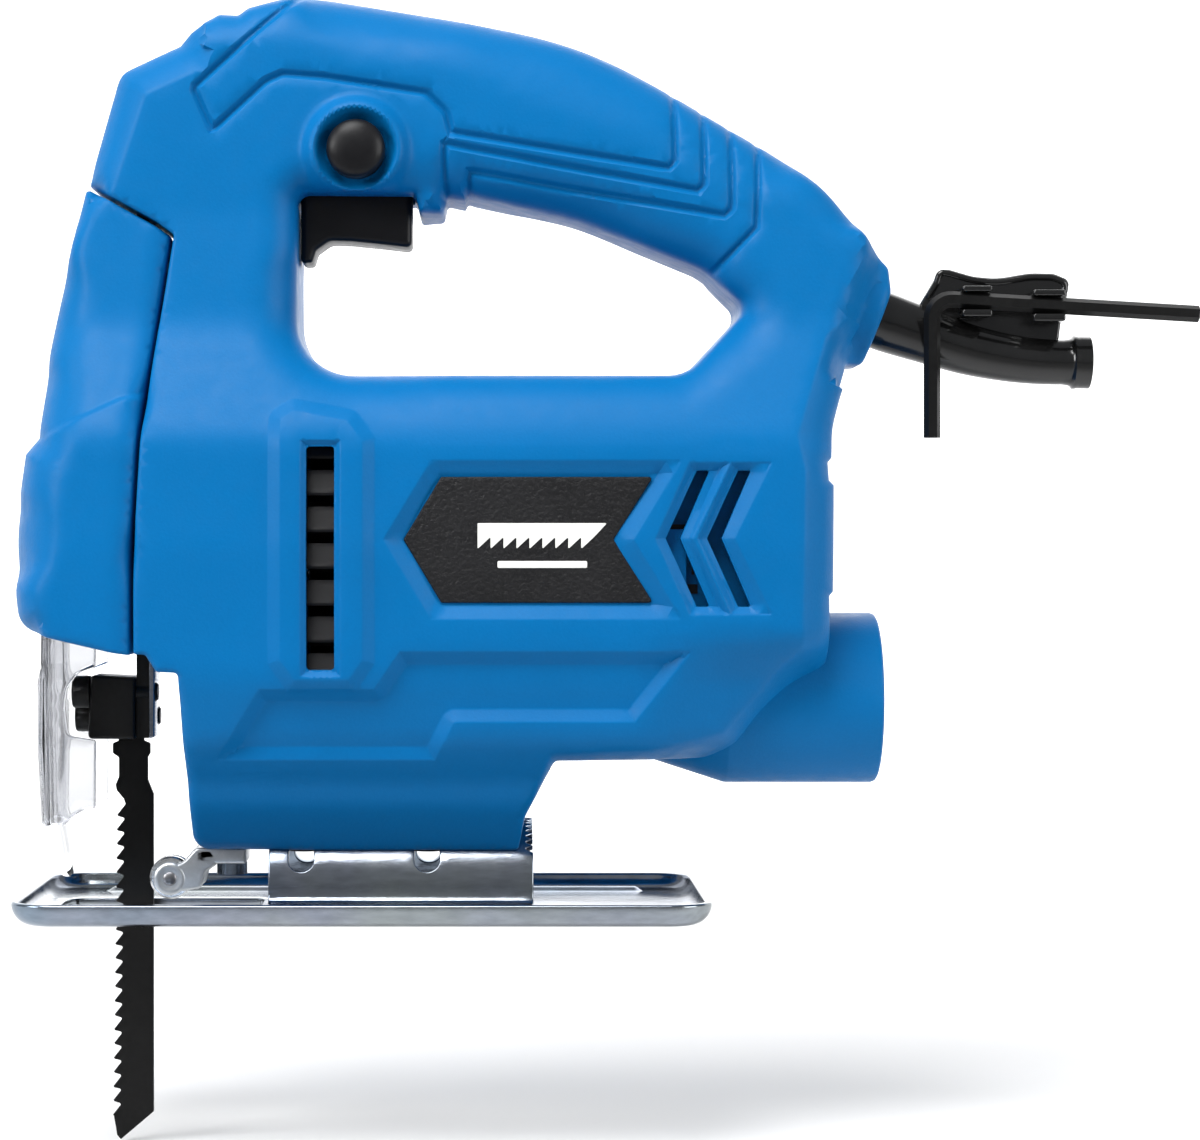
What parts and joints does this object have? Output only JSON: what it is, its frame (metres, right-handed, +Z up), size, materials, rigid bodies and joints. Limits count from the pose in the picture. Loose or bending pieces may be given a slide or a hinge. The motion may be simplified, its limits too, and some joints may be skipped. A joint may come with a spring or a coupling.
{
  "type": "jigsaw power tool",
  "caption": "Corded hand-held jigsaw with D handle, trigger, clear blade guard, tilting steel sole, guide roller, T-shank blade and hex key stowed on the cable sleeve.",
  "frame": {"origin": "underside of the sole plate, on the middle plane, midway along the plate", "axes": "+Z up from the sole, -X the cutting direction (blade end), +X the cable end, +Y the tool's right side"},
  "size_m": [0.2475, 0.065, 0.2395],
  "materials": {
    "blue_plastic": "fine moulded texture, semi-matt",
    "black_plastic": "fine moulded texture",
    "white_plastic": "plain",
    "yellow_plastic": "plain",
    "badge_black": "coarse leather-like texture",
    "black_rubber": "satin",
    "black_steel": "black oxide",
    "blade_black": "black oxide, bright tooth edges",
    "dark_steel": "ground and oiled",
    "bright_steel": "ground",
    "spring_steel": "drawn wire",
    "zinc_steel": "bright zinc plate",
    "cast_zinc": "die cast, tumbled",
    "cast_aluminium": "die cast",
    "lamination_steel": "stacked laminations, varnished",
    "copper_winding": "enamelled wire",
    "bronze": "sintered",
    "brass": "stamped",
    "carbon": "pressed carbon",
    "clear_plastic": "clear polycarbonate"
  },
  "bodies": {
    "housing": {"front_cover": "blue_plastic", "housing_left": "blue_plastic", "housing_right": "blue_plastic", "vent_grilles": "black_plastic", "badge_left": "badge_black", "badge_right": "badge_black", "housing_screws": "black_steel", "stator_core": "lamination_steel", "stator_coils": "copper_winding", "bearing_outer": "bright_steel", "bearing_balls": "bright_steel", "brush_holders": "brass", "carbon_brushes": "carbon", "brush_springs": "spring_steel", "brush_caps": "brass", "brush_bridge": "black_plastic", "gear_frame": "cast_aluminium", "plunger_bushes": "bronze", "gear_axle": "bright_steel", "axle_clip": "spring_steel", "saddle_clamp": "zinc_steel", "tilt_screws": "black_steel", "tilt_nut_plate": "zinc_steel", "roller_fork": "cast_zinc", "fork_screw": "zinc_steel", "roller_pin": "bright_steel", "trigger_spring": "spring_steel", "switch_body": "black_plastic", "terminal_block": "white_plastic", "capacitor": "yellow_plastic", "lock_spring": "spring_steel", "cable_guard": "black_rubber"},
    "armature": {"armature_shaft": "bright_steel", "armature_core": "lamination_steel", "armature_winding": "copper_winding", "commutator": "brass", "motor_fan": "black_plastic", "motor_pinion": "dark_steel", "bearing_inner": "bright_steel"},
    "crank": {"crank_gear": "dark_steel", "crank_roller": "bright_steel"},
    "plunger_rod": {"plunger": "black_steel", "blade_clamp": "black_steel", "clamp_screws": "black_steel", "blade": "blade_black"},
    "sole": {"base_plate": "zinc_steel", "base_saddle": "zinc_steel"},
    "roller": {"guide_roller": "bright_steel"},
    "guard": {"blade_guard": "clear_plastic"},
    "trigger_lever": {"trigger": "black_plastic"},
    "lock_knob": {"lock_button": "black_plastic"},
    "key": {"hex_key": "black_steel"}
  },
  "joints": [
    {"name": "armature_spin", "type": "hinge", "parent": "housing", "child": "armature", "pos_m": [0.02, 0, 0.074], "axis": [1, 0, 0], "range_deg": [0, 820]},
    {"name": "crank_spin", "type": "hinge", "parent": "housing", "child": "crank", "pos_m": [-0.032, 0, 0.099], "axis": [1, 0, 0], "range_deg": [-180, 0]},
    {"name": "plunger_stroke", "type": "slide", "parent": "housing", "child": "plunger_rod", "axis": [0, 0, 1], "range_m": [-0.016, 0]},
    {"name": "sole_tilt", "type": "hinge", "parent": "housing", "child": "sole", "pos_m": [0.008, 0, 0.006], "axis": [1, 0, 0], "range_deg": [-45, 45]},
    {"name": "guide_roller_spin", "type": "hinge", "parent": "housing", "child": "roller", "pos_m": [-0.0408, 0, 0.0072], "axis": [0, 1, 0], "continuous": true},
    {"name": "blade_guard_slide", "type": "slide", "parent": "housing", "child": "guard", "axis": [0, 0, 1], "range_m": [0, 0.014]},
    {"name": "trigger_press", "type": "slide", "parent": "housing", "child": "trigger_lever", "axis": [0, 0, 1], "range_m": [0, 0.0055], "stiffness_N_per_m": 800, "springref_m": -0.004, "deforming": ["trigger_spring"]},
    {"name": "lock_button_press", "type": "slide", "parent": "housing", "child": "lock_knob", "axis": [0, 1, 0], "range_m": [0, 0.003], "stiffness_N_per_m": 600, "springref_m": -0.002, "deforming": ["lock_spring"]},
    {"name": "hex_key_pull", "type": "slide", "parent": "housing", "child": "key", "axis": [0, -1, 0], "range_m": [0, 0.012]}
  ],
  "couplings": [
    {"joint": "crank_spin", "follows": "armature_spin", "ratio": -0.21951},
    {"joint": "plunger_stroke", "follows": "armature_spin", "m_per_rad": -0.001118}
  ]
}
